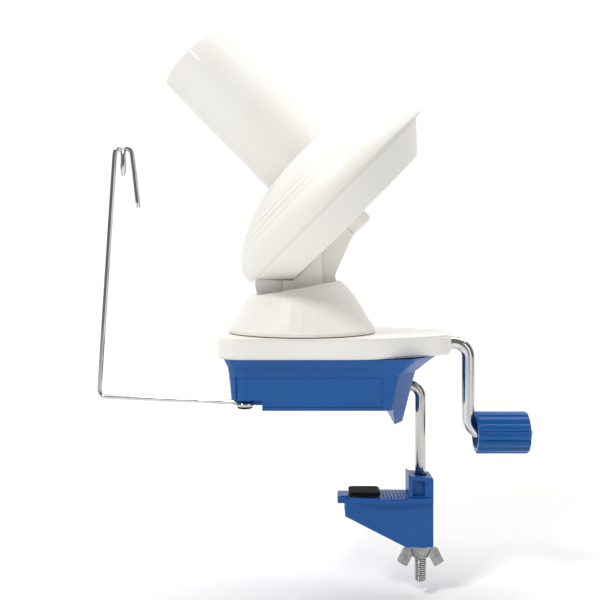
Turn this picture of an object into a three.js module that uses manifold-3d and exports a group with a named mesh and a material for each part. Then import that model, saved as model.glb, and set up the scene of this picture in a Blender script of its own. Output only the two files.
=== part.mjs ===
// Hand-cranked ball winder: a clamp-on base, a turret with a tilted gear cup, and a spindle on the cup.
// Millimetres. Origin: the turret's axis in the plane of the base's underside. +X to the crank, +Z up.
import * as THREE from "three";
import { mergeVertices } from "three/addons/utils/BufferGeometryUtils.js";
import Module from "manifold-3d";

const wasm = await Module();
wasm.setup();

const DEGREES = 180 / Math.PI; // turns radians into degrees
const GAP = 0.3; // clearance between neighbouring pieces
const WALL = 2.2; // moulded wall thickness

// Base
const COVER_TOP = 34;
const COVER_BOTTOM = 24.5;
const COVER_LEFT = -39.7;
const COVER_RIGHT = 73;
const COVER_HALF = 39;
const COVER_SHOULDER = 34; // where the sides start to taper
const COVER_NOSE_HALF = 17;
const COVER_OPENING = 26;
const TUB_TOP = 24.2;
const TUB_FLOOR = 2.4;
const FOOT_DROP = 8;
const PANEL_DEPTH = 0.5; // how far the long sides' panels are sunk
const FLARE_START = 16; // height where the tub starts to widen
const CRANK_Z = 28.75;
const ROD_Z = 7.5;
const ROD_SCREW_X = 38;

// Turret and spindle. The two axes cross at the apex, 45 degrees apart.
const APEX = 117;
const TILT = Math.PI / 4;
const POST_R = 2.5;
const AXLE_R = 2.5;
const SKIRT_R = 36.5;
const DISC_R = 60;
const TUBE_BASE_R = 20;
const TUBE_TIP_R = 19.1;
const TUBE_LENGTH = 74;

// Gears
const PINION_TEETH = 10;
const CROWN_TEETH = 40;
const CROWN_R = 21;
const PINION_R = CROWN_R * PINION_TEETH / CROWN_TEETH;
const SUN_TEETH = 12;
const RING_TEETH = 36;
const SUN_CONE = Math.atan2(Math.sin(TILT), RING_TEETH / SUN_TEETH + Math.cos(TILT));
const RING_CONE = TILT - SUN_CONE;
const BEVEL_OUTER = 38; // cone distance of the large end of the bevel teeth
const BEVEL_INNER = 32;
const BEVEL_ROOT_DEPTH = 1.15;
const BEVEL_TIP_HEIGHT = 0.75;

// Crank, clamp and guide
const CRANK_R = 3.3;
const CRANK_ARM_X = 83;
const GRIP_Z = -16.2;
const GRIP_R = 10.4;
const CLAMP_X = 59.2;
const CLAMP_R = 2.65;
const THREAD_R = 3;
const JAW_TOP = -46.5;
const PAD_TOP = -44.6;
const PIVOT = [-27, -25];
const WIRE_R = 1.2;
const WIRE_Z = 2.3;

const meshes = [];

// ---- Solid helpers ----

function solid(geometry) {
  geometry.deleteAttribute("normal");
  geometry.deleteAttribute("uv");
  const merged = mergeVertices(geometry, 1e-4);
  return new wasm.Manifold(new wasm.Mesh({
    numProp: 3,
    vertProperties: new Float32Array(merged.attributes.position.array),
    triVerts: new Uint32Array(merged.index.array),
  }));
}

function union(...parts) {
  return parts.reduce((whole, part) => whole.add(part));
}

// A box between two corners.
function block(low, high) {
  const size = high.map((value, i) => value - low[i]);
  const geometry = new THREE.BoxGeometry(...size);
  geometry.translate(...low.map((value, i) => value + size[i] / 2));
  return solid(geometry);
}

// A solid of revolution about Z from [radius, height] corners that run up the outside.
function turned(profile, segments = 36) {
  const points = profile.map(([r, z]) => new THREE.Vector2(Math.max(r, 0), z));
  const geometry = new THREE.LatheGeometry(points, segments);
  geometry.rotateX(Math.PI / 2);
  return solid(geometry);
}

// An upright rod of radius r between heights low and high, at x, y.
function rod(r, low, high, x = 0, y = 0, segments = 24) {
  return turned([[0, low], [r, low], [r, high], [0, high]], segments).translate([x, y, 0]);
}

// Turns a solid made about Z so that it lies along X, starting at height z.
function alongX(part, z = 0) {
  return part.rotate([0, 90, 0]).translate([0, 0, z]);
}

// A closed 2-D outline with rounded corners: each corner is [x, y, radius].
function rounded(corners) {
  const shape = new THREE.Shape();
  corners.forEach(([x, y, r], i) => {
    const before = corners[(i + corners.length - 1) % corners.length];
    const after = corners[(i + 1) % corners.length];
    const here = new THREE.Vector2(x, y);
    const from = new THREE.Vector2(before[0], before[1]).sub(here).normalize().multiplyScalar(r).add(here);
    const to = new THREE.Vector2(after[0], after[1]).sub(here).normalize().multiplyScalar(r).add(here);
    if (i === 0) shape.moveTo(from.x, from.y);
    else shape.lineTo(from.x, from.y);
    if (r > 0) shape.quadraticCurveTo(x, y, to.x, to.y);
  });
  shape.closePath();
  return shape;
}

// A plate with a plan outline between heights low and high. reshape may move each vertex.
function plate(corners, low, high, reshape = null, levels = 1, curve = 5) {
  const geometry = new THREE.ExtrudeGeometry(rounded(corners), {
    depth: high - low, steps: levels, bevelEnabled: false, curveSegments: curve,
  });
  geometry.translate(0, 0, low);
  if (reshape) {
    const p = geometry.attributes.position;
    for (let i = 0; i < p.count; i++) p.setXYZ(i, ...reshape(p.getX(i), p.getY(i), p.getZ(i)));
  }
  return solid(geometry);
}

// A plate standing in the XZ plane: corners are [x, z, radius], thickness runs from y0 to y1.
function sideways(corners, y0, y1) {
  return plate(corners, -y1, -y0).rotate([90, 0, 0]);
}

// A wire's centre line: straight runs joined by arcs, with points only where it bends.
class BentWire extends THREE.Curve {
  constructor(corners, bend, steps = 6) {
    super();
    const points = corners.map((c) => new THREE.Vector3(...c));
    this.stations = [];
    points.forEach((here, i) => {
      if (i === 0 || i === points.length - 1) {
        const from = i === 0 ? here : points[i - 1];
        const to = i === 0 ? points[1] : here;
        this.stations.push([here, to.clone().sub(from).normalize()]);
        return;
      }
      this.stations.push(...BentWire.arc(points[i - 1], here, points[i + 1], bend, steps));
    });
  }

  static arc(before, here, after, bend, steps) {
    const a = here.clone().sub(before).normalize();
    const b = after.clone().sub(here).normalize();
    const turn = a.angleTo(b);
    const side = b.clone().addScaledVector(a, -a.dot(b)).normalize();
    const start = here.clone().addScaledVector(a, -bend * Math.tan(turn / 2));
    return Array.from({ length: steps + 1 }, (_, k) => {
      const t = turn * k / steps;
      const point = start.clone()
        .addScaledVector(a, bend * Math.sin(t))
        .addScaledVector(side, bend * (1 - Math.cos(t)));
      const tangent = a.clone().multiplyScalar(Math.cos(t)).addScaledVector(side, Math.sin(t));
      return [point, tangent];
    });
  }

  station(u) {
    return this.stations[Math.round(u * (this.stations.length - 1))];
  }

  getPoint(u) { return this.station(u)[0].clone(); }

  getPointAt(u) { return this.station(u)[0].clone(); }

  getTangentAt(u) { return this.station(u)[1].clone(); }
}

// A round wire of radius r through corners, with arcs of radius bend.
function wire(corners, r, bend, steps = 6, sides = 12) {
  const path = new BentWire(corners, bend, steps);
  const section = new THREE.Shape().absarc(0, 0, r, 0, 2 * Math.PI);
  return solid(new THREE.ExtrudeGeometry(section, {
    steps: path.stations.length - 1, extrudePath: path, curveSegments: sides / 2, bevelEnabled: false,
  }));
}

// Moves a solid made about Z, with Z = -u, into the tilted axis: u runs down the axis from the apex.
function tilted(part) {
  return part.rotate([0, -45, 0]).translate([0, 0, APEX]);
}

// A turned piece on the tilted axis from [radius, u] corners that run from high u to low u.
function tiltedTurned(profile, segments = 40) {
  return tilted(turned(profile.map(([r, u]) => [r, -u]), segments));
}

// One named node with its own material.
function node(name, part, color, roughness, metalness = 0) {
  const { numProp, numVert, vertProperties, triVerts } = part.getMesh();
  const positions = new Float32Array(numVert * 3);
  for (let i = 0; i < numVert; i++) {
    positions.set(vertProperties.subarray(i * numProp, i * numProp + 3), i * 3);
  }
  const geometry = new THREE.BufferGeometry();
  geometry.setAttribute("position", new THREE.BufferAttribute(positions, 3));
  geometry.setIndex(new THREE.BufferAttribute(triVerts, 1));
  geometry.computeVertexNormals();
  const mesh = new THREE.Mesh(geometry, new THREE.MeshStandardMaterial({ color, roughness, metalness }));
  mesh.name = name;
  meshes.push(mesh);
}

const BLUE = 0x1f5fae;
const WHITE = 0xf4f1ea;
const STEEL = 0xb9bcc0;
const ZINC = 0xa8a9a4;
const NYLON = 0xe9e4d4;
const BLACK = 0x1c1c1e;

// ---- Base ----

// The cover's plan outline, moved inwards by inset.
function coverOutline(inset) {
  const half = COVER_HALF - inset;
  const nose = COVER_NOSE_HALF - inset * 0.8;
  const right = COVER_RIGHT - inset;
  return [
    [COVER_LEFT + inset, -half, 12], [COVER_SHOULDER, -half, 14], [right, -nose, 9],
    [right, nose, 9], [COVER_SHOULDER, half, 14], [COVER_LEFT + inset, half, 12],
  ];
}

const COVER_SCREWS = [[-26, 24], [-30.5, -6], [31, 23], [31, -23]];

function topCover() {
  let cover = plate(coverOutline(0), COVER_BOTTOM + 1, COVER_TOP - 1)
    .add(plate(coverOutline(0.7), COVER_BOTTOM, COVER_TOP))
    .subtract(plate(coverOutline(WALL), COVER_BOTTOM - 1, COVER_TOP - WALL));
  for (const [x, y] of COVER_SCREWS) {
    cover = cover.add(rod(3.1, TUB_TOP + 1, COVER_TOP - 1, x, y, 16));
    cover = cover.subtract(rod(1.6, TUB_TOP, COVER_TOP - 3, x, y, 12));
  }
  // A low collar stands round the opening, under the turret's skirt.
  const inner = COVER_OPENING - 1;
  const outer = COVER_OPENING + 2;
  cover = cover.add(turned([[inner, COVER_TOP - 2], [outer, COVER_TOP - 2], [outer, COVER_TOP + 2],
    [COVER_OPENING, COVER_TOP + 2], [inner, COVER_TOP - 2]]));
  cover = cover.subtract(rod(COVER_OPENING, COVER_BOTTOM, COVER_TOP + 5, 0, 0, 40));
  return cover.subtract(alongX(rod(CRANK_R + 0.4, 10, 76), CRANK_Z));
}

// Half-width, left end and right end of the tub at height z: upright sides that flare out above the panel.
function tubSection(z) {
  const flare = Math.max(0, (z - FLARE_START) / (TUB_TOP - FLARE_START));
  const lean = Math.min(z, FLARE_START) / FLARE_START;
  return {
    left: -33 - 1.5 * lean - 2.4 * flare * flare,
    half: 31.5 + 1.2 * lean + 3.4 * flare * flare,
    right: 51 + 4 * lean + 10.5 * flare,
  };
}

// The tub's plan as shares of its length and half-width.
const TUB_PLAN = [
  [-1, -1, 0.2], [0.8, -1, 0.05], [1, -0.42, 0.07],
  [1, 0.42, 0.07], [0.8, 1, 0.05], [-1, 1, 0.2],
];

// A tub-shaped body whose walls lie inset inside the outside faces.
function tubBody(low, high, inset) {
  return plate(TUB_PLAN, low, high, (x, y, z) => {
    const at = tubSection(z);
    const length = x < 0 ? -at.left : at.right;
    return [x * (length - inset), y * (at.half - inset), z];
  }, 6, 3);
}

function tubShell() {
  const shell = tubBody(0, TUB_TOP, 0).subtract(tubBody(TUB_FLOOR, TUB_TOP + 1, WALL));
  // A shallow panel is sunk into each long side below the flare.
  const skin = tubBody(1.4, FLARE_START - 0.3, -0.5).subtract(tubBody(1, FLARE_START, PANEL_DEPTH));
  return shell.subtract(skin.intersect(block([-31, -60, 0], [37.5, 60, 20])));
}

// A raised pocket in the near left corner leaves room for the yarn guide to swing.
function withGuidePocket(tub) {
  const walls = block([-34, -34, TUB_FLOOR - 1], [-16.4, -13.4, 7.2]).intersect(tubBody(0, TUB_TOP, 0.5));
  return tub.add(walls)
    .subtract(block([-60, -60, -1], [-18.6, -15.6, 4.8]))
    .add(rod(4, 3.9, 11, ...PIVOT, 20))
    .subtract(rod(2, 3, 10, ...PIVOT, 16));
}

// The rail under the crank end stops the base against the edge of the table.
function edgeRail() {
  const foot = -FOOT_DROP - 1;
  const side = sideways([[42.6, 1.4, 0], [44, foot, 0], [60, foot, 0], [60, 1.4, 0]], -40, 40);
  return tubBody(-FOOT_DROP, 1, 0).intersect(side);
}

// The post's socket, two ribs that carry the crank, and the clamp rod's socket with its screw boss.
function withBearings(tub) {
  let whole = tub.add(rod(3.9, 1, 15)).subtract(rod(POST_R + GAP, 1.2, 16));
  for (const x of [17.8, 45]) {
    whole = whole.add(block([x, -7, 1], [x + 3, 7, 31]));
  }
  return whole.subtract(alongX(rod(CRANK_R + GAP, 15, 50), CRANK_Z))
    .add(alongX(rod(5.5, 30, 53), ROD_Z))
    .subtract(alongX(rod(CLAMP_R + GAP, 32, 58, 0, 0, 20), ROD_Z))
    .add(rod(2.8, 11, 16, ROD_SCREW_X, 0, 14))
    .subtract(rod(1.8, 8, 17, ROD_SCREW_X, 0, 12));
}

function baseTub() {
  let tub = withBearings(withGuidePocket(tubShell()).add(edgeRail()));
  for (const [x, y] of COVER_SCREWS) {
    tub = tub.add(rod(3.1, 1, TUB_TOP - 0.2, x, y, 16))
      .subtract(rod(1.8, -1, TUB_TOP + 1, x, y, 12))
      .subtract(rod(2.6, -1, 2, x, y, 12));
  }
  return tub;
}

function coverScrew([x, y]) {
  return rod(2.3, 0.3, 1.7, x, y, 12).add(rod(1.3, 1.5, 30, x, y, 10));
}

function mainPost() {
  return turned([
    [0, 1.5], [POST_R, 1.5], [POST_R, 43.4], [4, 43.9],
    [4, 45.4], [POST_R, 45.4], [POST_R, 86], [0, 86],
  ], 24);
}

function thrustWasher() {
  return rod(4.6, 45.7, 46.6).subtract(rod(POST_R + GAP, 45, 48));
}

// One straight tooth on the cone, a prism that narrows towards the apex.
function bevelTooth(cone, teeth) {
  const width = Math.PI * BEVEL_OUTER * Math.sin(cone) / teeth;
  const nearEnd = 12;
  const flank = new THREE.Shape();
  flank.moveTo(-0.42 * width, -2);
  flank.lineTo(0.42 * width, -2);
  flank.lineTo(0.26 * width, 1.6);
  flank.lineTo(-0.26 * width, 1.6);
  const geometry = new THREE.ExtrudeGeometry(flank, { depth: BEVEL_OUTER + 8, bevelEnabled: false });
  const p = geometry.attributes.position;
  for (let i = 0; i < p.count; i++) {
    const distance = Math.max(p.getZ(i), nearEnd);
    const share = distance / BEVEL_OUTER;
    p.setXYZ(i, p.getX(i) * share, p.getY(i) * share, distance);
  }
  geometry.rotateX(Math.PI - cone).rotateZ(Math.PI);
  return solid(geometry);
}

// A ring of straight teeth on a cone about Z whose apex is the origin, and whose teeth point outwards.
function bevelGear(cone, teeth, phase) {
  // A point at distance d along the cone and at a height over it, which shrinks towards the apex.
  const point = (d, height) => {
    const lift = height * d / BEVEL_OUTER;
    return [d * Math.sin(cone) + lift * Math.cos(cone), lift * Math.sin(cone) - d * Math.cos(cone)];
  };
  const blank = (height) => {
    const outer = point(BEVEL_OUTER, -BEVEL_ROOT_DEPTH);
    const inner = point(BEVEL_INNER, -BEVEL_ROOT_DEPTH);
    return turned([[0, outer[1]], outer, point(BEVEL_OUTER, height), point(BEVEL_INNER, height),
      inner, [0, inner[1]]], teeth);
  };
  const rim = blank(BEVEL_TIP_HEIGHT);
  let gear = blank(-BEVEL_ROOT_DEPTH + 0.01);
  for (let k = 0; k < teeth; k++) {
    gear = gear.add(bevelTooth(cone, teeth).rotate([0, 0, (phase + k * 2 * Math.PI / teeth) * DEGREES])
      .intersect(rim));
  }
  return gear;
}

function sunGear() {
  return bevelGear(SUN_CONE, SUN_TEETH, Math.PI / SUN_TEETH - Math.PI / 2)
    .subtract(rod(POST_R + GAP, -60, 0)).translate([0, 0, APEX]);
}

function postCap() {
  return rod(4.6, 86.3, 88.3, 0, 0, 16);
}

function clampRod() {
  const bar = wire([[33, 0, ROD_Z], [CLAMP_X, 0, ROD_Z], [CLAMP_X, 0, -88]], CLAMP_R, 6, 7, 16);
  const thread = rod(THREAD_R, -89, -52, CLAMP_X, 0, 20);
  const end = turned([[0, -90], [2.2, -90], [THREAD_R, -89], [0, -88.5]], 20).translate([CLAMP_X, 0, 0]);
  return union(bar, thread, end);
}

function rodScrew() {
  const shank = rod(1.5, ROD_Z + CLAMP_R + GAP, 16.5, ROD_SCREW_X, 0, 10);
  return shank.add(rod(2.5, 16.4, 17.6, ROD_SCREW_X, 0, 12));
}

function pivotScrew() {
  return turned([[0, 0.15], [3.2, 0.15], [3.8, 0.8], [1.6, 0.8], [1.6, 9.5], [0, 9.5]], 20)
    .translate([...PIVOT, 0]);
}

// ---- Crank ----

function crankRod() {
  const end = CRANK_ARM_X + 24;
  const bar = wire([[7, 0, CRANK_Z], [CRANK_ARM_X, 0, CRANK_Z], [CRANK_ARM_X, 0, GRIP_Z], [end, 0, GRIP_Z]],
    CRANK_R, 7.5, 7, 16);
  return bar.add(alongX(rod(2.2, end - 2, 112.4, 0, 0, 16), GRIP_Z));
}

function crownGear() {
  const face = PINION_R + 1.3;
  let gear = turned([[CRANK_R + GAP, face], [23, face], [23, face + 3], [6.5, face + 3], [6.5, 17.4],
    [CRANK_R + GAP, 17.4], [CRANK_R + GAP, face]], 40);
  const pitch = 2 * Math.PI * CROWN_R / CROWN_TEETH;
  for (let k = 0; k < CROWN_TEETH; k++) {
    const flank = new THREE.Shape();
    flank.moveTo(-0.27 * pitch, 0.2);
    flank.lineTo(0.27 * pitch, 0.2);
    flank.lineTo(0.12 * pitch, -2);
    flank.lineTo(-0.12 * pitch, -2);
    const geometry = new THREE.ExtrudeGeometry(flank, { depth: 3.8, bevelEnabled: false });
    // The flank's second coordinate becomes the gear's axis, and its depth the radius.
    geometry.rotateX(Math.PI / 2).translate(0, 22.9, face);
    geometry.rotateZ(k * 2 * Math.PI / CROWN_TEETH);
    gear = gear.add(solid(geometry));
  }
  return alongX(gear, CRANK_Z);
}

function crankCollar() {
  return alongX(rod(6, 21.2, 25.5).subtract(rod(CRANK_R + 0.25, 20, 27)), CRANK_Z);
}

function grip() {
  const lobes = 14;
  const sides = lobes * 6;
  const points = Array.from({ length: sides }, (_, k) => {
    const t = k / sides * 2 * Math.PI;
    const r = GRIP_R - 0.75 * (1 - Math.abs(Math.cos(t * lobes / 2))) ** 1.4;
    return new THREE.Vector2(r * Math.cos(t), r * Math.sin(t));
  });
  const fluted = new THREE.ExtrudeGeometry(new THREE.Shape(points), { depth: 26, bevelEnabled: false });
  return alongX(solid(fluted).translate([0, 0, 86.5])
    .subtract(rod(8.2, 85.5, 91.5, 0, 0, 28))
    .subtract(rod(CRANK_R + GAP, 84.5, 107.5))
    .subtract(rod(2.5, 106.5, 113.5)), GRIP_Z);
}

function gripRivet() {
  return alongX(rod(3.2, 112.8, 113.8, 0, 0, 16).add(rod(1.6, 113.6, 115, 0, 0, 12)), GRIP_Z);
}

// ---- Turret ----

const SKIRT = [
  [SKIRT_R, 34.5], [SKIRT_R, 36], [33.4, 40.5], [30.2, 46],
  [26.6, 52], [22.4, 57], [18.4, 60.4], [14, 62],
];

// Everything above the slope on which the skirt is cut off, or a slab of some thickness under that slope.
function slopedSlab(low, high) {
  const lean = Math.atan2(7.6, 44.5) * DEGREES;
  return block([-90, -90, low], [90, 90, high]).rotate([0, -lean, 0]).translate([0, 0, 56.6]);
}

// The bell-shaped skirt with its sloping closed top.
function turretSkirt() {
  const inside = SKIRT.map(([r, z]) => [r - WALL, z - (z > 37 ? 1.2 : 0)]);
  const outside = turned([[0, 34.5], ...SKIRT, [0, 62]]);
  const hollow = turned([[0, 33], [SKIRT_R - WALL, 33], ...inside, [0, 60.8]]);
  const upper = turned([[0, 46], ...SKIRT.slice(3), [0, 62]]);
  const lid = slopedSlab(-WALL, 0).intersect(upper);
  return outside.subtract(hollow).subtract(slopedSlab(0, 60)).add(lid);
}

// The square neck, the gusset that reaches the cup's boss, and the saddle under the cup's low side.
function turretArm() {
  const neck = plate([[-9.8, -9.8, 3], [9.8, -9.8, 3], [9.8, 9.8, 3], [-9.8, 9.8, 3]], 55, 80, null, 1, 3);
  const gusset = sideways([[2, 56, 0], [17.5, 58.6, 1], [16.2, 61.8, 2], [24.2, 80, 1],
    [26.5, 83.2, 0], [26.5, 91, 0], [2, 80, 0]], -2.5, 2.5);
  const insideSkirt = turned([[0, 20], [24, 20], [24, 52.5], [10, 53.6], [0, 53.6]], 40);
  const saddle = sideways([[-22, 50, 1], [-23.4, 60, 1], [-4, 70, 0], [8, 70, 0], [8, 54, 1]], -7, 7)
    .subtract(insideSkirt);
  const underCup = tiltedTurned([[0, 90], [95, 90], [95, 20], [56.2, 20], [56.2, 23.2], [55.6, 24.6],
    [44.6, 37.2], [43, 37.4], [0, 37.4]]);
  const boss = tilted(rod(6.3 + GAP, -70, -30));
  return union(neck, gusset, saddle).intersect(underCup).subtract(boss).subtract(rod(9, 30, 53));
}

function turretBase() {
  return turretSkirt().add(turretArm())
    .subtract(rod(5.1, 50, 60.5))
    .subtract(rod(POST_R + 0.4, 50, 90));
}

function hubPinion() {
  const low = 47;
  const high = 52.3;
  let gear = rod(PINION_R - 1.15, low, high, 0, 0, 20);
  const pitch = 2 * Math.PI * PINION_R / PINION_TEETH;
  for (let k = 0; k < PINION_TEETH; k++) {
    const flank = new THREE.Shape();
    flank.moveTo(2, -0.3 * pitch);
    flank.lineTo(PINION_R - 0.9, -0.24 * pitch);
    flank.lineTo(PINION_R + 0.75, -0.1 * pitch);
    flank.lineTo(PINION_R + 0.75, 0.1 * pitch);
    flank.lineTo(PINION_R - 0.9, 0.24 * pitch);
    flank.lineTo(2, 0.3 * pitch);
    const geometry = new THREE.ExtrudeGeometry(flank, { depth: high - low, bevelEnabled: false });
    geometry.translate(0, 0, low).rotateZ((k + 0.5) * 2 * Math.PI / PINION_TEETH);
    gear = gear.add(solid(geometry));
  }
  return gear.add(rod(4.8, high - 0.5, 58.6, 0, 0, 24)).subtract(rod(POST_R + 0.3, 40, 70));
}

function gearCup() {
  const outside = [[0, 43], [5, 43], [6.3, 41.7], [6.3, 37], [43.4, 37], [44.4, 36.5],
    [55.4, 24.4], [56, 23], [55.8, 20.5], [0, 20.5]];
  const inside = [[0, 34.6], [42.3, 34.6], [53.2, 23.3], [53.2, 15], [0, 15]];
  return tiltedTurned(outside).subtract(tiltedTurned(inside))
    .subtract(rod(POST_R + 0.6, 55, 90)).add(tilted(rod(6, -36, -33.2)))
    .subtract(tilted(rod(AXLE_R + GAP, -42, -20)));
}

function tiltAxle() {
  return tilted(rod(AXLE_R, -41.5, 6));
}

// ---- Spindle ----

// Depth below the apex of the disc's domed face at radius r.
function domeHeight(r) {
  const s = (r - TUBE_BASE_R) / 36.5;
  return -3 + 11 * s + 6 * s ** 4;
}

// The disc's stepped face, from the tube outwards.
function discSteps(steps) {
  const width = 33 / steps;
  const corners = [];
  for (let k = 0; k < steps; k++) {
    const r = 21.5 + width * k;
    corners.push([r, domeHeight(r)], [r + width - 0.8, domeHeight(r + width - 0.8) - 0.25]);
  }
  return corners;
}

function spindleDisc() {
  const rim = [[56.5, 14], [58.4, 16.4], [59.6, 19], [DISC_R, 23.3], [57.6, 23.3]];
  const under = [[55.6, 18.6], [50, 13.4], [40, 8.4], [30, 4], [20, 1.4], [9, 1], [9, 24.3], [0, 24.3]];
  const face = [[0, -0.8], [TUBE_BASE_R - 2, -0.8], [20.5, -2.6], ...discSteps(6)];
  return tiltedTurned([...under.reverse(), ...rim.reverse(), ...face.reverse()], 36)
    .subtract(tilted(rod(AXLE_R + GAP, -30, 5)));
}

function ringGear() {
  return tilted(bevelGear(RING_CONE, RING_TEETH, 0)
    .subtract(rod(9.3, -24.6, -10))
    .subtract(rod(AXLE_R + GAP, -60, 0)));
}

function spindleTube() {
  const tip = -3 - TUBE_LENGTH;
  const slot = tilted(block([-0.5, -30, -tip - 7.5], [0.5, 0, -tip + 2]));
  const bore = tiltedTurned([[0, -1.1], [TUBE_BASE_R - 2.4, -1.1], [TUBE_TIP_R - 2, tip - 1], [0, tip - 1]]);
  return tiltedTurned([[0, -1.1], [TUBE_BASE_R - 2.2, -1.1], [TUBE_BASE_R, -2.9], [TUBE_TIP_R, tip + 0.6],
    [TUBE_TIP_R - 0.6, tip], [0, tip]], 40).subtract(bore).subtract(slot);
}

function spindleWasher() {
  return tilted(rod(6, 1.1, 2.3).subtract(rod(AXLE_R + GAP, 0, 4)));
}

function axleClip() {
  return tilted(rod(4.4, 2.6, 4).subtract(rod(AXLE_R + 0.2, 0, 5)).subtract(block([0, -1.6, 0], [6, 1.6, 6])));
}

// ---- Clamp jaw and nut ----

function clampJaw() {
  const left = 52.5;
  const right = 64.75;
  const bottom = -71.5;
  const flange = plate([[19, -5, 2], [36, -9.6, 6], [right, -8, 3], [right, 8, 3], [36, 9.6, 6], [19, 5, 2]],
    JAW_TOP - 3, JAW_TOP - 0.6);
  const nose = sideways([[17.5, -50.3, 0.6], [18, JAW_TOP, 0.6], [23, JAW_TOP, 0], [23, -50.3, 0]], -4.8, 4.8);
  const web = sideways([[21.2, -48, 0], [21.2, -56.3, 0.8], [51, bottom, 1.5], [right, bottom, 1],
    [right, -48, 0]], -6.5, 6.5);
  const tower = sideways([[left, -50, 0], [left, -35.4, 0.3], [53.8, -36.6, 0.3], [right, -37.4, 1],
    [right, -50, 0]], -7, 7);
  let jaw = union(flange, nose, web, tower);
  // Cross ridges grip the underside of the table beside the pad.
  for (let x = 40.4; x < left - 0.6; x += 1.8) {
    const ridge = [[x - 0.7, JAW_TOP - 1, 0], [x, JAW_TOP + 0.1, 0], [x + 0.7, JAW_TOP - 1, 0]];
    jaw = jaw.add(sideways(ridge, -7.6, 7.6));
  }
  // The guide is open on both sides beside the rod, and the web is a channel open at the back.
  const opening = [[54.6, -46.4, 0], [54.6, -38.4, 0], [60.5, -38.8, 0], [60.5, -46.4, 0]];
  jaw = jaw.subtract(sideways(opening, -8, -4.6)).subtract(sideways(opening, 4.6, 8));
  const channel = sideways([[24, -52, 0], [24, -55.2, 0], [50, -69.4, 0], [52.6, -69.4, 0],
    [52.6, -52, 0]], -4.4, 9);
  return jaw.subtract(channel).subtract(rod(THREAD_R + 0.35, -80, -30, CLAMP_X, 0, 24));
}

function clampPad() {
  return plate([[23.4, -7, 2], [38.8, -7, 2], [38.8, 7, 2], [23.4, 7, 2]], JAW_TOP + 0.3, PAD_TOP - 0.4)
    .add(plate([[23.9, -6.5, 2], [38.3, -6.5, 2], [38.3, 6.5, 2], [23.9, 6.5, 2]], JAW_TOP + 0.3, PAD_TOP));
}

function nutWasher() {
  return rod(6.2, -73, -71.9, CLAMP_X).subtract(rod(THREAD_R + GAP, -80, -60, CLAMP_X));
}

function wingNut() {
  const hub = turned([[0, -78], [4, -78], [4.8, -76], [5.2, -73.3], [0, -73.3]], 24);
  const wing = sideways([[3.6, -73.4, 0.3], [8.4, -73.6, 1.4], [11.7, -80.3, 0.8], [7, -83, 0.8],
    [3.6, -76.6, 1]], -1, 1);
  return union(hub, wing, wing.rotate([0, 0, 180]))
    .subtract(rod(THREAD_R + 0.25, -90, -60))
    .translate([CLAMP_X, 0, 0]);
}

// ---- Yarn guide ----

// The end ring about the pivot, the arm, the upright, an eyelet and the down-turned hook.
function yarnGuide() {
  const [x, y] = PIVOT;
  const arm = union(
    wire([[x, y + 3.6, WIRE_Z], [-101, -2, WIRE_Z - 0.1], [-93.2, -2, 121], [-92.2, -2, 125.6],
      [-89.6, -2, 126], [-88.4, -1.6, 121.4]], WIRE_R, 1.6, 3, 8),
    wire([[-90.6, 0.4, 125], [-90.2, 3.4, 121], [-89.6, 3.4, 115.6], [-89, -1.4, 112.4], [-88.6, -4.6, 116.4],
      [-88.3, -3.4, 122.6], [-87.6, -2, 126.2], [-85.2, -2, 124.6], [-81.4, -2, 96]], WIRE_R, 1.6, 3, 8),
  );
  const eye = turned([[3.6 - WIRE_R, WIRE_Z - 0.7], [3.6 - 0.6, WIRE_Z - WIRE_R], [4.2, WIRE_Z - WIRE_R],
    [4.8, WIRE_Z - 0.7], [4.8, WIRE_Z + 0.7], [4.2, WIRE_Z + WIRE_R], [3, WIRE_Z + WIRE_R],
    [3.6 - WIRE_R, WIRE_Z + 0.7], [3.6 - WIRE_R, WIRE_Z - 0.7]], 16).translate([x, y, 0]);
  return arm.add(eye);
}

// ---- Assembly ----

node("base_tub", baseTub(), BLUE, 0.42);
node("top_cover", topCover(), WHITE, 0.4);
node("main_post", mainPost(), STEEL, 0.3, 1);
node("thrust_washer", thrustWasher(), STEEL, 0.4, 1);
node("sun_gear", sunGear(), NYLON, 0.5);
node("post_cap", postCap(), STEEL, 0.4, 1);
node("clamp_rod", clampRod(), STEEL, 0.25, 1);
node("rod_screw", rodScrew(), STEEL, 0.4, 1);
COVER_SCREWS.forEach((at, i) => node(`cover_screw_${i + 1}`, coverScrew(at), STEEL, 0.4, 1));
node("guide_pivot_screw", pivotScrew(), BLACK, 0.5, 0.4);
node("crank_rod", crankRod(), STEEL, 0.15, 1);
node("crown_gear", crownGear(), NYLON, 0.5);
node("crank_collar", crankCollar(), STEEL, 0.4, 1);
node("grip_rivet", gripRivet(), STEEL, 0.35, 1);
node("grip", grip(), BLUE, 0.38);
node("turret_base", turretBase(), WHITE, 0.4);
node("hub_pinion", hubPinion(), NYLON, 0.5);
node("gear_cup", gearCup(), WHITE, 0.4);
node("tilt_axle", tiltAxle(), STEEL, 0.3, 1);
node("axle_clip", axleClip(), STEEL, 0.4, 1);
node("spindle_disc", spindleDisc(), WHITE, 0.4);
node("ring_gear", ringGear(), NYLON, 0.5);
node("spindle_tube", spindleTube(), WHITE, 0.4);
node("spindle_washer", spindleWasher(), STEEL, 0.4, 1);
node("clamp_jaw", clampJaw(), BLUE, 0.42);
node("clamp_pad", clampPad(), BLACK, 0.8);
node("nut_washer", nutWasher(), ZINC, 0.4, 1);
node("wing_nut", wingNut(), ZINC, 0.4, 1);
node("yarn_guide", yarnGuide(), STEEL, 0.15, 1);

const ballWinder = new THREE.Group();
ballWinder.name = "ball_winder";
ballWinder.add(...meshes);
export default ballWinder;
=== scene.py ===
"""Looks of the hand-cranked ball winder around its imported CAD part. Metres, in the CAD frame."""
import math

import bmesh
import bpy
from mathutils import Matrix, Vector


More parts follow.
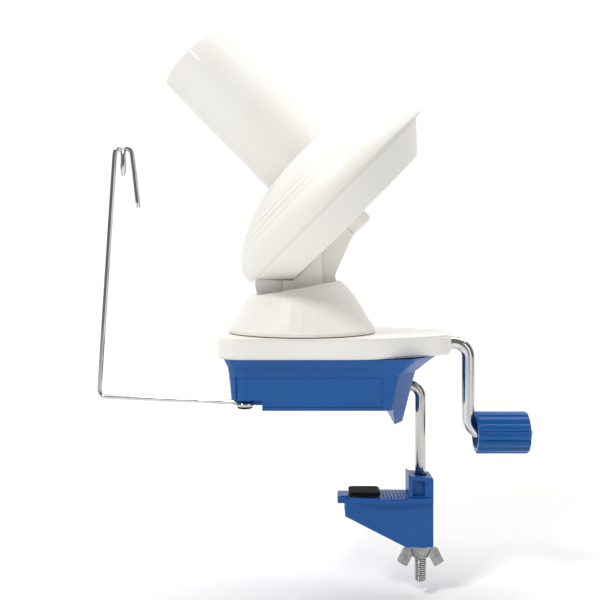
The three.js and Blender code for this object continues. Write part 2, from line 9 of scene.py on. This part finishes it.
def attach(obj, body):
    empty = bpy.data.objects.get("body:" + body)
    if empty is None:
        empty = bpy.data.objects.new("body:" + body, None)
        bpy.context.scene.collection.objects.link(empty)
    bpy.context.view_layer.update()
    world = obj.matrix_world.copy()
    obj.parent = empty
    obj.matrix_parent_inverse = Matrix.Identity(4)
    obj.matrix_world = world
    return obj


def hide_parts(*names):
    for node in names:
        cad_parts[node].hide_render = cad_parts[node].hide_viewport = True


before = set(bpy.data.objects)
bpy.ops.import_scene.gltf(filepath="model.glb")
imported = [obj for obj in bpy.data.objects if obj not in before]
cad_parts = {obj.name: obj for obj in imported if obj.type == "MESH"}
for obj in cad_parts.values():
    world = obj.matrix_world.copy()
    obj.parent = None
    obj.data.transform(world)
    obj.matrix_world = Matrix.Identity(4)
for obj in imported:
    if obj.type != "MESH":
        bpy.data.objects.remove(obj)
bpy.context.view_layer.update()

MM = 0.001

# Sizes shared with the CAD part, in millimetres
APEX = 117.0  # height where the turret's axis and the spindle's axis cross
TUBE_BASE_R = 20.0
TUBE_TIP_R = 19.1
TUBE_TIP = 76.75  # the tip's distance from the apex
CRANK_Z = 28.75
CRANK_ARM_X = 83.0
CRANK_R = 3.3
GRIP_Z = -16.2
GRIP_R = 10.4
CLAMP_X = 59.2
CLAMP_R = 2.65
THREAD_R = 3.0
ROD_Z = 7.5
PIVOT = Vector((-27.0, -25.0, 2.3))  # where the guide's end ring goes round its screw
WIRE_R = 1.2
RING_R = 3.6

# Sizes of the finer surfaces
RIDGES = 9
RIDGE_START = 21.3
RIDGE_BAND = 33.0  # width of the ridged part of the disc
GRIP_LOBES = 14
GROOVE_DEPTH = 0.95
THREAD_TOP = -53.0
THREAD_END = -90.0
THREAD_PITCH = 1.0
THREAD_DEPTH = 0.25
FLOOR_Z = -0.098  # metres, just below the rod's end

# Lathed pieces of the spindle and the cup are drawn about Z, and this turns them onto the tilted axis.
TILT = Matrix.Translation((0, 0, APEX * MM)) @ Matrix.Rotation(math.radians(-45), 4, "Y")


# ---- Meshes ----

def made(name, bm, material, body, replaced, sharp=35.0, matrix=None):
    """Turns a bmesh in millimetres into a piece that rides on body and stands for the replaced nodes."""
    bmesh.ops.remove_doubles(bm, verts=bm.verts, dist=1e-4)
    bmesh.ops.recalc_face_normals(bm, faces=bm.faces)
    mesh = bpy.data.meshes.new(name)
    bm.to_mesh(mesh)
    bm.free()
    mesh.transform(Matrix.Scale(MM, 4))
    if matrix is not None:
        mesh.transform(matrix)
    mesh.shade_smooth()
    mesh.set_sharp_from_angle(angle=math.radians(sharp))
    mesh.materials.append(material)
    piece = bpy.data.objects.new(name, mesh)
    bpy.context.scene.collection.objects.link(piece)
    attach(piece, body)
    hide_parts(*replaced)
    return piece


def bevelled(piece, width, segments=3, angle=40.0):
    """Rounds a piece's sharp edges."""
    bevel = piece.modifiers.new("Rounded edges", "BEVEL")
    bevel.width = width * MM
    bevel.segments = segments
    bevel.limit_method = "ANGLE"
    bevel.angle_limit = math.radians(angle)
    bevel.harden_normals = True
    return piece


def skin(bm, rings):
    """Joins neighbouring closed rings of as many vertices each with quads."""
    for a, b in zip(rings, rings[1:]):
        for k in range(len(a)):
            n = (k + 1) % len(a)
            bm.faces.new((a[k], b[k], b[n], a[n]))


def circle(radius, sides):
    """Points of a circle as pairs."""
    angles = [2 * math.pi * k / sides for k in range(sides)]
    return [(radius * math.cos(t), radius * math.sin(t)) for t in angles]


def lathe(profile, segments=128):
    """A closed turned solid about Z from a loop of (radius, z) corners that stay off the axis."""
    bm = bmesh.new()
    rings = []
    for k in range(segments):
        t = 2 * math.pi * k / segments
        rings.append([bm.verts.new((r * math.cos(t), r * math.sin(t), z)) for r, z in profile])
    skin(bm, rings + rings[:1])
    return bm


def softened(profile, radius, steps=3):
    """Rounds every corner of a closed outline by up to radius."""
    out = []
    count = len(profile)
    for i, here in enumerate(profile):
        here = Vector(here)
        before = Vector(profile[i - 1]) - here
        after = Vector(profile[(i + 1) % count]) - here
        reach = min(radius, before.length * 0.4, after.length * 0.4)
        start = here + before.normalized() * reach
        end = here + after.normalized() * reach
        for k in range(steps + 1):
            t = k / steps
            out.append(tuple(start * (1 - t) ** 2 + here * 2 * t * (1 - t) + end * t * t))
    return out


def bent(corners, bend, steps=12):
    """Points along straight runs joined by arcs of radius bend."""
    corners = [Vector(c) for c in corners]
    path = [corners[0]]
    for before, here, after in zip(corners, corners[1:], corners[2:]):
        a = (here - before).normalized()
        b = (after - here).normalized()
        turn = a.angle(b)
        side = (b - a * a.dot(b)).normalized()
        start = here - a * bend * math.tan(turn / 2)
        for k in range(steps + 1):
            t = turn * k / steps
            path.append(start + a * bend * math.sin(t) + side * bend * (1 - math.cos(t)))
    path.append(corners[-1])
    return path


def sweep(path, radius, sides=24, rounded=0.35):
    """A round wire of one radius along path, with softly rounded ends."""
    bm = bmesh.new()
    path = [Vector(p) for p in path]
    first = (path[1] - path[0]).normalized()
    last = (path[-1] - path[-2]).normalized()
    stations = [(path[0], radius - rounded), (path[0] + first * rounded, radius)]
    stations += [(p, radius) for p in path[1:-1]]
    stations += [(path[-1] - last * rounded, radius), (path[-1], radius - rounded)]
    normal = first.orthogonal().normalized()
    rings = []
    for i, (place, r) in enumerate(stations):
        before = stations[max(i - 1, 0)][0]
        after = stations[min(i + 1, len(stations) - 1)][0]
        along = (after - before).normalized()
        normal = (normal - along * normal.dot(along)).normalized()
        across = along.cross(normal)
        rings.append([bm.verts.new(place + normal * a + across * b) for a, b in circle(r, sides)])
    skin(bm, rings)
    for ring, place in ((rings[0], path[0]), (rings[-1], path[-1])):
        middle = bm.verts.new(place)
        for k in range(sides):
            bm.faces.new((middle, ring[k], ring[(k + 1) % sides]))
    return bm


def joined(*meshes):
    """One bmesh that holds several."""
    whole = bmesh.new()
    for bm in meshes:
        mesh = bpy.data.meshes.new("part")
        bm.to_mesh(mesh)
        whole.from_mesh(mesh)
        bm.free()
        bpy.data.meshes.remove(mesh)
    return whole


# ---- Materials: colours and roughness come in pairs, the two ends of a noise-driven range ----

def shader(name, colour, roughness, metallic=0.0):
    """A node material with its own node tree, its Principled shader and a position in object space."""
    material = bpy.data.materials.new(name)
    material.use_nodes = True
    nodes = material.node_tree.nodes
    principled = nodes["Principled BSDF"]
    principled.inputs["Base Color"].default_value = (*colour, 1)
    principled.inputs["Roughness"].default_value = roughness
    principled.inputs["Metallic"].default_value = metallic
    place = nodes.new("ShaderNodeTexCoord").outputs["Object"]
    return material, principled, place


def noise(material, place, scale, detail=4.0, stretch=(1, 1, 1)):
    """A noise value over the object; stretch scales the axes."""
    nodes = material.node_tree.nodes
    links = material.node_tree.links
    mapping = nodes.new("ShaderNodeMapping")
    mapping.inputs["Scale"].default_value = stretch
    texture = nodes.new("ShaderNodeTexNoise")
    texture.inputs["Scale"].default_value = scale
    texture.inputs["Detail"].default_value = detail
    links.new(place, mapping.inputs["Vector"])
    links.new(mapping.outputs["Vector"], texture.inputs["Vector"])
    return texture.outputs["Fac"]


def spread(material, value, low, high, socket):
    """Maps a 0 to 1 value onto low..high and links it to socket."""
    ranged = material.node_tree.nodes.new("ShaderNodeMapRange")
    ranged.inputs["From Min"].default_value = 0.3
    ranged.inputs["From Max"].default_value = 0.7
    ranged.inputs["To Min"].default_value = low
    ranged.inputs["To Max"].default_value = high
    material.node_tree.links.new(value, ranged.inputs["Value"])
    material.node_tree.links.new(ranged.outputs["Result"], socket)


def tinted(material, value, dark, light, socket):
    """Blends two colours by a value and links the result to socket."""
    ramp = material.node_tree.nodes.new("ShaderNodeValToRGB")
    ramp.color_ramp.elements[0].position = 0.3
    ramp.color_ramp.elements[1].position = 0.7
    ramp.color_ramp.elements[0].color = (*dark, 1)
    ramp.color_ramp.elements[1].color = (*light, 1)
    material.node_tree.links.new(value, ramp.inputs["Fac"])
    material.node_tree.links.new(ramp.outputs["Color"], socket)


def bump(material, value, strength, distance, principled):
    """Small surface relief from a value."""
    relief = material.node_tree.nodes.new("ShaderNodeBump")
    relief.inputs["Strength"].default_value = strength
    relief.inputs["Distance"].default_value = distance * MM
    material.node_tree.links.new(value, relief.inputs["Height"])
    material.node_tree.links.new(relief.outputs["Normal"], principled.inputs["Normal"])


def moulded_plastic(name, dark, light, rough, grain=900.0):
    """Injection-moulded plastic: faint flow variation, fine moulded grain, a soft clear sheen."""
    material, principled, place = shader(name, light, rough[0])
    tinted(material, noise(material, place, 14.0), dark, light, principled.inputs["Base Color"])
    spread(material, noise(material, place, 60.0), *rough, principled.inputs["Roughness"])
    bump(material, noise(material, place, grain, 2.0), 0.12, 0.05, principled)
    principled.inputs["Specular IOR Level"].default_value = 0.3
    return material


def metal(name, dark, light, rough, stretch=(1, 1, 1), grain=400.0, relief=0.06):
    """Metal with drawn or turned streaks along the stretched axes."""
    material, principled, place = shader(name, light, rough[0], 1.0)
    streaks = noise(material, place, grain, 6.0, stretch)
    tinted(material, streaks, dark, light, principled.inputs["Base Color"])
    spread(material, noise(material, place, 120.0), *rough, principled.inputs["Roughness"])
    bump(material, streaks, relief, 0.02, principled)
    return material


def matt_black(name):
    """Matt black with a fine speckled surface, for rubber and for blackened steel."""
    material, principled, place = shader(name, (0.004, 0.004, 0.005), 0.7)
    principled.inputs["Specular IOR Level"].default_value = 0.12
    speckle = noise(material, place, 1500.0, 3.0)
    tinted(material, speckle, (0.0025, 0.0025, 0.003), (0.006, 0.006, 0.007), principled.inputs["Base Color"])
    spread(material, speckle, 0.62, 0.82, principled.inputs["Roughness"])
    bump(material, speckle, 0.35, 0.08, principled)
    return material


WHITE = moulded_plastic("white_moulded", (0.88, 0.862, 0.81), (0.92, 0.908, 0.872), (0.36, 0.46))
BLUE = moulded_plastic("blue_moulded", (0.004, 0.08, 0.3), (0.007, 0.1, 0.36), (0.3, 0.42))
GRIP_BLUE = moulded_plastic("blue_grip", (0.004, 0.078, 0.28), (0.008, 0.098, 0.34), (0.16, 0.26), 700.0)
NYLON = moulded_plastic("gear_nylon", (0.68, 0.65, 0.55), (0.74, 0.71, 0.62), (0.45, 0.55))
CHROME = metal("chromed_rod", (0.5, 0.5, 0.51), (0.72, 0.72, 0.73), (0.08, 0.16), (1, 1, 0.05), 300.0, 0.03)
WIRE_CHROME = metal("guide_chrome", (0.48, 0.48, 0.49), (0.7, 0.7, 0.71), (0.1, 0.2), (1, 1, 0.05), 300.0,
                    0.03)
DRAWN = metal("drawn_steel", (0.42, 0.41, 0.395), (0.6, 0.585, 0.57), (0.15, 0.24), (1, 1, 0.04), 500.0, 0.08)
STEEL = metal("turned_steel", (0.45, 0.45, 0.46), (0.6, 0.6, 0.61), (0.28, 0.4), (1, 1, 6), 300.0)
ZINC = metal("cast_zinc", (0.26, 0.26, 0.255), (0.42, 0.42, 0.41), (0.3, 0.45), (1, 1, 1), 350.0, 0.25)
RUBBER = matt_black("black_rubber")
BLACK_SCREW = matt_black("blackened_screw")


# ---- Spindle ----

def dome(r):
    """Depth of the disc's face below the apex at radius r, without its ridges."""
    s = (r - TUBE_BASE_R) / 36.5
    return -3 + 11 * s + 6 * s ** 4


# One ridge of the disc: share of its width, and how far it stands out from the dome, in millimetres.
RIDGE_SHAPE = ((0.0, -0.7), (0.18, -0.7), (0.28, 0.65), (0.38, 0.95), (0.7, 0.85), (0.84, 0.6), (0.95, -0.3))


def disc():
    """The stepped disc: shallow rounded ridges on a dome, a smooth rim band and a turned-down lip."""
    face = [(20.4, -2.6)]
    width = RIDGE_BAND / RIDGES
    for k in range(RIDGES):
        for share, lift in RIDGE_SHAPE:
            r = RIDGE_START + width * (k + share)
            face.append((r, dome(r) - lift))
    rim = [(54.6, 11.5), (56.2, 12.9), (57.7, 14.8), (58.8, 17.0), (59.5, 19.4), (59.8, 21.4), (59.6, 22.6),
           (59.0, 23.3), (57.9, 23.3), (57.4, 22.4)]
    under = [(55.6, 18.6), (50, 13.4), (40, 8.4), (30, 4), (20, 1.4)]
    hub = [(9, 1), (9, 24.3), (2.8, 24.3), (2.8, -0.8)]
    loop = [(r, -u) for r, u in face + rim + under + hub]
    made("disc", lathe(loop, 160), WHITE, "spindle", ["spindle_disc"], 30, TILT)


def slot_cutter():
    """A box across the near wall of the tube's tip, wide enough for a strand of yarn."""
    bm = bmesh.new()
    bmesh.ops.create_cube(bm, size=1.0)
    bmesh.ops.scale(bm, vec=(1.1, 12, 12), verts=bm.verts)
    bmesh.ops.translate(bm, vec=(0, -TUBE_TIP_R, TUBE_TIP - 1.5), verts=bm.verts)
    mesh = bpy.data.meshes.new("slot_cutter")
    bm.to_mesh(mesh)
    bm.free()
    mesh.transform(Matrix.Scale(MM, 4))
    mesh.transform(TILT)
    cutter = bpy.data.objects.new("slot_cutter", mesh)
    bpy.context.scene.collection.objects.link(cutter)
    return cutter


def tube():
    """The hollow spindle tube with its rolled tip and the slot that catches the yarn's end."""
    below_slot = TUBE_TIP - 9
    loop = softened([(2.8, 1.1), (17.8, 1.1), (TUBE_BASE_R, 2.9), (TUBE_TIP_R + 0.1, below_slot),
                     (TUBE_TIP_R, TUBE_TIP), (TUBE_TIP_R - 2, TUBE_TIP), (TUBE_TIP_R - 1.9, below_slot),
                     (TUBE_BASE_R - 2.4, 3.6), (2.8, 3.3)], 0.7)
    piece = made("tube", lathe(loop, 120), WHITE, "spindle", ["spindle_tube"], 40, TILT)
    cutter = slot_cutter()
    cut = piece.modifiers.new("Yarn slot", "BOOLEAN")
    cut.object = cutter
    cut.solver = "EXACT"
    bpy.context.view_layer.update()
    evaluated = piece.evaluated_get(bpy.context.evaluated_depsgraph_get())
    final = bpy.data.meshes.new_from_object(evaluated)
    final.set_sharp_from_angle(angle=math.radians(40))
    piece.modifiers.clear()
    piece.data = final
    bpy.data.objects.remove(cutter)


# ---- Turret ----

def cup():
    """The housing under the disc: rounded edges, a conical wall and a flat floor with the axle's boss."""
    boss = [(2.8, 43), (5, 43), (6.3, 41.7), (6.3, 37)]
    outside = [(43.6, 37), (44.8, 36.1), (55.3, 24.8), (55.95, 23.2), (55.8, 20.5)]
    inside = [(53.2, 20.5), (53.2, 23.3), (42.3, 34.6), (6, 34.6), (2.8, 34.6)]
    loop = [(r, -u) for r, u in softened(boss + outside + inside, 0.9)]
    made("cup", lathe(loop, 160), WHITE, "turret", ["gear_cup"], 40, TILT)


# ---- Base ----

def smooth_node(name, material, width=0.0, angle=35.0):
    """Keeps a CAD node, gives it a material and, if width isn't zero, rounds its sharp edges."""
    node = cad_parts[name]
    node.data.materials.clear()
    node.data.materials.append(material)
    node.data.shade_smooth()
    node.data.set_sharp_from_angle(angle=math.radians(angle))
    if width:
        bevelled(node, width, 2, angle)


# ---- Crank and grip ----

def crank():
    """The polished rod, bent twice, with its thin end that carries the rivet."""
    corners = [(7, 0, CRANK_Z), (CRANK_ARM_X, 0, CRANK_Z), (CRANK_ARM_X, 0, GRIP_Z), (107, 0, GRIP_Z)]
    bar = sweep(bent(corners, 7.5), CRANK_R, 32)
    end = sweep([(106.9, 0, GRIP_Z), (112.4, 0, GRIP_Z)], 2.2, 24, 0.1)
    made("crank", joined(bar, end), CHROME, "crank", ["crank_rod"], 35)


def grip():
    """The fluted grip: round lobes with narrow grooves, softened ends and a hollow inner end."""
    sides = GRIP_LOBES * 16
    bm = bmesh.new()
    # Along the outside: x, how far the outline is drawn in, and the share of the grooves' depth.
    outside = [(86.5, 2.4, 0), (86.5, 0.7, 0.6), (86.7, 0.25, 0.85), (87.3, 0, 1), (111.5, 0, 1),
               (112.2, 0.25, 0.85), (112.5, 0.9, 0.5), (112.5, 3.2, 0)]
    rings = []
    for x, inward, groove in outside:
        ring = []
        for k in range(sides):
            t = 2 * math.pi * k / sides
            wave = (1 - abs(math.cos(t * GRIP_LOBES / 2))) ** 1.4
            r = GRIP_R - inward - GROOVE_DEPTH * groove * wave
            ring.append(bm.verts.new((x, r * math.cos(t), GRIP_Z + r * math.sin(t))))
        rings.append(ring)
    # Back through the bore: the rivet's hole, the rod's hole and the wide hollow.
    for x, r in ((112.5, 2.6), (107.5, 2.6), (107.4, 3.6), (91.6, 3.6), (91.4, 7.8), (86.6, 7.9)):
        rings.append([bm.verts.new((x, a, GRIP_Z + b)) for a, b in circle(r, sides)])
    skin(bm, rings + rings[:1])
    made("fluted_grip", bm, GRIP_BLUE, "grip", ["grip"], 45)


# ---- Clamp ----

def thread():
    """A rolled helical thread that runs out into the plain rod at the top and tapers at the end."""
    bm = bmesh.new()
    sides = 36
    root = CLAMP_R - THREAD_DEPTH
    steps = int((THREAD_TOP - THREAD_END) / THREAD_PITCH * 8)
    rings = []
    for i in range(steps + 1):
        z = THREAD_TOP + (THREAD_END - THREAD_TOP) * i / steps
        run_out = min(1.0, (THREAD_TOP - z) / 1.5)
        taper = 0.72 + 0.28 * min(1.0, z - THREAD_END + 0.25)
        ring = []
        for k in range(sides):
            t = 2 * math.pi * k / sides
            turn = (z / THREAD_PITCH + k / sides) % 1.0
            crest = min(1.0, 1.5 * (1 - abs(2 * turn - 1)))
            r = (root + (THREAD_R - root) * crest) * taper
            r = CLAMP_R + (r - CLAMP_R) * run_out
            ring.append(bm.verts.new((CLAMP_X + r * math.cos(t), r * math.sin(t), z)))
        rings.append(ring)
    skin(bm, rings)
    bm.faces.new(rings[0])
    bm.faces.new(rings[-1][::-1])
    return bm


def clamp_rod():
    """The bent steel rod, and the thread over its lower part."""
    corners = [(33, 0, ROD_Z), (CLAMP_X, 0, ROD_Z), (CLAMP_X, 0, THREAD_TOP - 1)]
    bar = sweep(bent(corners, 6), CLAMP_R, 32, 0.05)
    made("threaded_rod", joined(bar, thread()), DRAWN, "base", ["clamp_rod"], 50)


# ---- Yarn guide ----

def smooth_path(points, steps=8):
    """A Catmull-Rom curve through points."""
    points = [Vector(p) for p in points]
    padded = [points[0] * 2 - points[1], *points, points[-1] * 2 - points[-2]]
    path = []
    for a, b, c, d in zip(padded, padded[1:], padded[2:], padded[3:]):
        for k in range(steps):
            t = k / steps
            path.append(0.5 * (2 * b + (c - a) * t + (2 * a - 5 * b + 4 * c - d) * t ** 2
                               + (3 * b - 3 * c + d - a) * t ** 3))
    path.append(points[-1])
    return path


def guide():
    """One wire: a ring round the screw, the arm, the upright, an eyelet between two humps, and the hook."""
    turns = [math.radians(-190 + 14 * k) for k in range(21)]
    ring = [PIVOT + Vector((RING_R * math.cos(t), RING_R * math.sin(t), 0)) for t in turns]
    corner = Vector((-101, -2, 2.2))
    rise = Vector((-93.4, -2, 120))
    run = bent([ring[-1], corner, rise], 3.2, 8)
    first_hump = [(-92.9, -2, 123.8), (-91.6, -1.6, 125.5), (-90.2, -0.6, 124.6)]
    eyelet = [(-89.7, 1.4, 121.6), (-90.2, 2.9, 117.4), (-89.6, 1.2, 113.6), (-88.9, -2.2, 113),
              (-88.2, -4.2, 116.8), (-88.7, -3.6, 121.4)]
    second_hump = [(-88.3, -2.6, 124.4), (-86.9, -2, 125.6), (-85.2, -2, 124.2)]
    hook = [(-84.2, -2, 120), (-81.4, -2, 96)]
    top = smooth_path([rise, *first_hump, *eyelet, *second_hump, *hook])
    made("guide_wire", sweep(ring + run[1:] + top[1:], WIRE_R, 20), WIRE_CHROME, "guide",
         ["yarn_guide"], 60)


# ---- Stage ----

def backdrop():
    """A pale floor below the rod's end that curves up into a wall."""
    bend = 0.6
    bend_start = 0.5
    angles = [math.radians(a) for a in range(9, 90, 9)]
    rows = [(-1.6, FLOOR_Z), (bend_start, FLOOR_Z)]
    rows += [(bend_start + bend * math.sin(t), FLOOR_Z + bend * (1 - math.cos(t))) for t in angles]
    rows += [(bend_start + bend, 2.6)]
    bm = bmesh.new()
    lines = [[bm.verts.new((x, y, z)) for x in (-2.6, 2.6)] for y, z in rows]
    for a, b in zip(lines, lines[1:]):
        bm.faces.new((a[0], a[1], b[1], b[0]))
    mesh = bpy.data.meshes.new("backdrop")
    bm.to_mesh(mesh)
    bm.free()
    mesh.shade_smooth()
    material, principled, place = shader("pale_paper", (0.93, 0.93, 0.93), 0.9)
    tinted(material, noise(material, place, 3.0), (0.92, 0.92, 0.92), (0.94, 0.94, 0.94),
           principled.inputs["Base Color"])
    mesh.materials.append(material)
    floor = bpy.data.objects.new("backdrop", mesh)
    bpy.context.scene.collection.objects.link(floor)


def area_light(name, place, target, size, power):
    """A rectangular soft box at place that faces target."""
    light = bpy.data.lights.new(name, "AREA")
    light.shape = "RECTANGLE"
    light.size, light.size_y = size
    light.energy = power
    lamp = bpy.data.objects.new(name, light)
    lamp.location = place
    lamp.rotation_euler = (Vector(target) - Vector(place)).to_track_quat("-Z", "Y").to_euler()
    bpy.context.scene.collection.objects.link(lamp)


def lights():
    """Three soft boxes on the object and one on the backdrop, in a dim warm room that metal can mirror."""
    aim = (0, 0, 0.06)
    area_light("key", (-0.6, -0.75, 1.0), aim, (0.25, 0.25), 8.6)
    area_light("fill", (0.8, -0.8, 0.2), aim, (0.3, 0.8), 1.3)
    area_light("top", (0.7, 0.25, 0.75), aim, (0.5, 0.3), 1.2)
    area_light("backdrop_light", (0.0, 0.1, 1.6), (0, 1.1, 0.2), (2.4, 0.8), 24.0)
    world = bpy.data.worlds.new("studio")
    world.use_nodes = True
    background = world.node_tree.nodes["Background"]
    background.inputs["Color"].default_value = (1.0, 0.975, 0.93, 1)
    background.inputs["Strength"].default_value = 0.2
    bpy.context.scene.world = world


def camera():
    """Level with the turret, in front of the base's long side. The shift keeps the upright edges upright."""
    data = bpy.data.cameras.new("camera")
    data.sensor_width = 36.0
    data.lens = 54.0
    data.shift_y = -0.0767
    eye = bpy.data.objects.new("camera", data)
    eye.location = (-0.001, -0.45, 0.073)
    eye.rotation_euler = (math.radians(90), 0, 0)
    bpy.context.scene.collection.objects.link(eye)
    bpy.context.scene.camera = eye
    bpy.context.scene.view_settings.view_transform = "Standard"


# ---- Scene ----

# Kept CAD nodes that show: name, material, and the rounding of their edges in millimetres.
OUTER_NODES = (
    ("base_tub", BLUE, 0.35), ("top_cover", WHITE, 0.5), ("turret_base", WHITE, 0.3),
    ("clamp_jaw", BLUE, 0.25), ("clamp_pad", RUBBER, 0.25), ("wing_nut", ZINC, 0.35),
    ("nut_washer", ZINC, 0.15), ("grip_rivet", STEEL, 0.2), ("guide_pivot_screw", BLACK_SCREW, 0.15),
)
# Kept CAD nodes inside, with no rounding.
STEEL_NODES = (
    "main_post", "thrust_washer", "post_cap", "rod_screw", "cover_screw_1", "cover_screw_2", "cover_screw_3",
    "cover_screw_4", "crank_collar", "tilt_axle", "axle_clip", "spindle_washer",
)
GEAR_NODES = ("sun_gear", "ring_gear", "crown_gear", "hub_pinion")

disc()
tube()
cup()
crank()
grip()
clamp_rod()
guide()
for kept, look, rounding in OUTER_NODES:
    smooth_node(kept, look, rounding)
for kept in STEEL_NODES:
    smooth_node(kept, STEEL)
for kept in GEAR_NODES:
    smooth_node(kept, NYLON)
backdrop()
lights()
camera()
